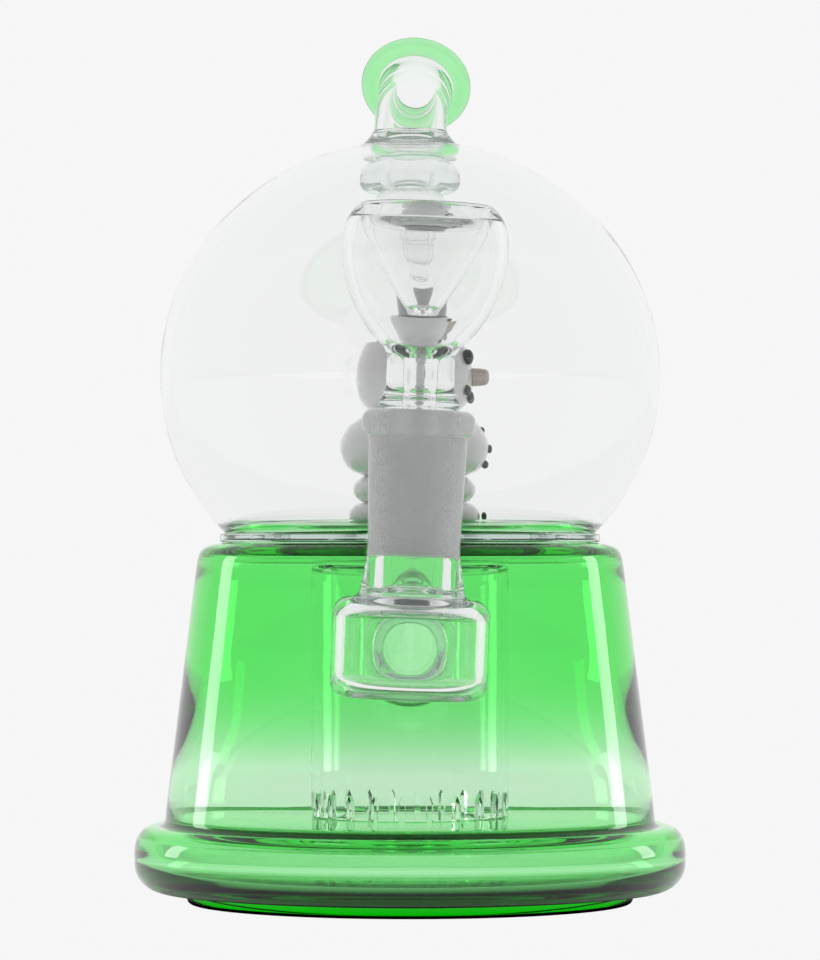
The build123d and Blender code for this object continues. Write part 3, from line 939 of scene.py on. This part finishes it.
# The camera sees the floor evenly pale; every other ray sees the painted shadow under the foot.
path = tree.nodes.new("ShaderNodeLightPath")
chosen = tree.nodes.new("ShaderNodeMix")
chosen.data_type = "FLOAT"
chosen.inputs["B"].default_value = PALE
tree.links.new(spot.outputs["Object"], far.inputs[0])
tree.links.new(far.outputs["Value"], shade.inputs["Value"])
tree.links.new(path.outputs["Is Camera Ray"], chosen.inputs["Factor"])
tree.links.new(shade.outputs["Result"], chosen.inputs["A"])
tree.links.new(chosen.outputs["Result"], glow.inputs["Strength"])
tree.links.new(glow.outputs["Emission"], tree.nodes["Material Output"].inputs["Surface"])
floor.data.materials.append(paper)
print("floor is pale, and dark within", PAINTED_SHADOW_FROM / MM, "mm of the centre")

# %% Room light
world = bpy.data.worlds.new("studio_room")
bpy.context.scene.world = world
world.use_nodes = True
tree = world.node_tree
link = tree.links.new
sky = tree.nodes["Background"]
way = tree.nodes.new("ShaderNodeTexCoord")
axes = tree.nodes.new("ShaderNodeSeparateXYZ")
link(way.outputs["Generated"], axes.inputs["Vector"])


def ramped(source, low, high, to_low, to_high):
    """A smooth change from one strength to another along a direction."""
    node = tree.nodes.new("ShaderNodeMapRange")
    node.interpolation_type = "SMOOTHSTEP"
    node.inputs["From Min"].default_value = low
    node.inputs["From Max"].default_value = high
    node.inputs["To Min"].default_value = to_low
    node.inputs["To Max"].default_value = to_high
    link(source, node.inputs["Value"])
    return node.outputs["Result"]


front = ramped(axes.outputs["Y"], low=-0.7, high=0.97, to_low=0.40, to_high=0.93)
seen = tree.nodes.new("ShaderNodeLightPath")
chosen = tree.nodes.new("ShaderNodeMix")
chosen.data_type = "FLOAT"
link(seen.outputs["Is Camera Ray"], chosen.inputs["Factor"])
link(front, chosen.inputs["A"])
chosen.inputs["B"].default_value = PALE
link(chosen.outputs["Result"], sky.inputs["Strength"])
sky.inputs["Color"].default_value = (1, 1, 1, 1)
print("room is paler behind the piece than in front of it")


# %% Soft boxes
BOX_AIM = Vector((0, 0, 0.08))


def soft_box(name, azimuth, distance, width, height, z, power):
    """An upright panel at an angle from the camera's side (0 is the front), facing the object."""
    data = bpy.data.lights.new(name, "AREA")
    data.shape = "RECTANGLE"
    data.size = width
    data.size_y = height
    data.energy = power
    lamp = bpy.data.objects.new(name, data)
    bpy.context.scene.collection.objects.link(lamp)
    a = radians(azimuth)
    lamp.location = (distance * sin(a), -distance * cos(a), z)
    lamp.rotation_euler = (BOX_AIM - lamp.location).to_track_quat("-Z", "Y").to_euler()
    lamp.visible_camera = False
    return lamp


receivers = bpy.data.collections.new("lit_by_the_boxes")
receivers.objects.link(base_shell)
for side in (-1, 1):
    lamp = soft_box(
        "box", azimuth=side * 114, distance=0.8, width=0.15, height=0.30, z=0.18, power=0.55
    )
    lamp.light_linking.receiver_collection = receivers
    print("soft box at", [round(v, 2) for v in lamp.location])

# %% [markdown]
# ## Camera
# A long lens at the height of the deck, almost level, so that the deck is seen edge on.

# %% Camera
camera_data = bpy.data.cameras.new("camera")
camera_data.lens = 175.5
camera_data.sensor_width = 36
camera_data.clip_end = 50
camera = bpy.data.objects.new("camera", camera_data)
bpy.context.scene.collection.objects.link(camera)
camera_distance = 0.95
camera_height = 0.0708
tilt_up = atan(73 / 4680)
camera.location = (0, -camera_distance, camera_height)
camera.rotation_euler = (radians(90) + tilt_up, 0, 0)
bpy.context.scene.camera = camera
print("camera tilts up", round(tilt_up * 180 / pi, 2), "degrees")

# %% [markdown]
# ## Light paths and colour
# Light crosses many glass surfaces before it leaves this piece, so the limits on bounces are raised. The
# plain view keeps whites white.

# %% Render settings
scene = bpy.context.scene
scene.view_settings.view_transform = "Standard"
scene.cycles.max_bounces = 32
scene.cycles.transmission_bounces = 32
scene.cycles.glossy_bounces = 16
scene.cycles.diffuse_bounces = 4
scene.cycles.sample_clamp_indirect = 6.0
scene.cycles.use_denoising = True
print("light may bounce", scene.cycles.max_bounces, "times")

# %% Import json
import json
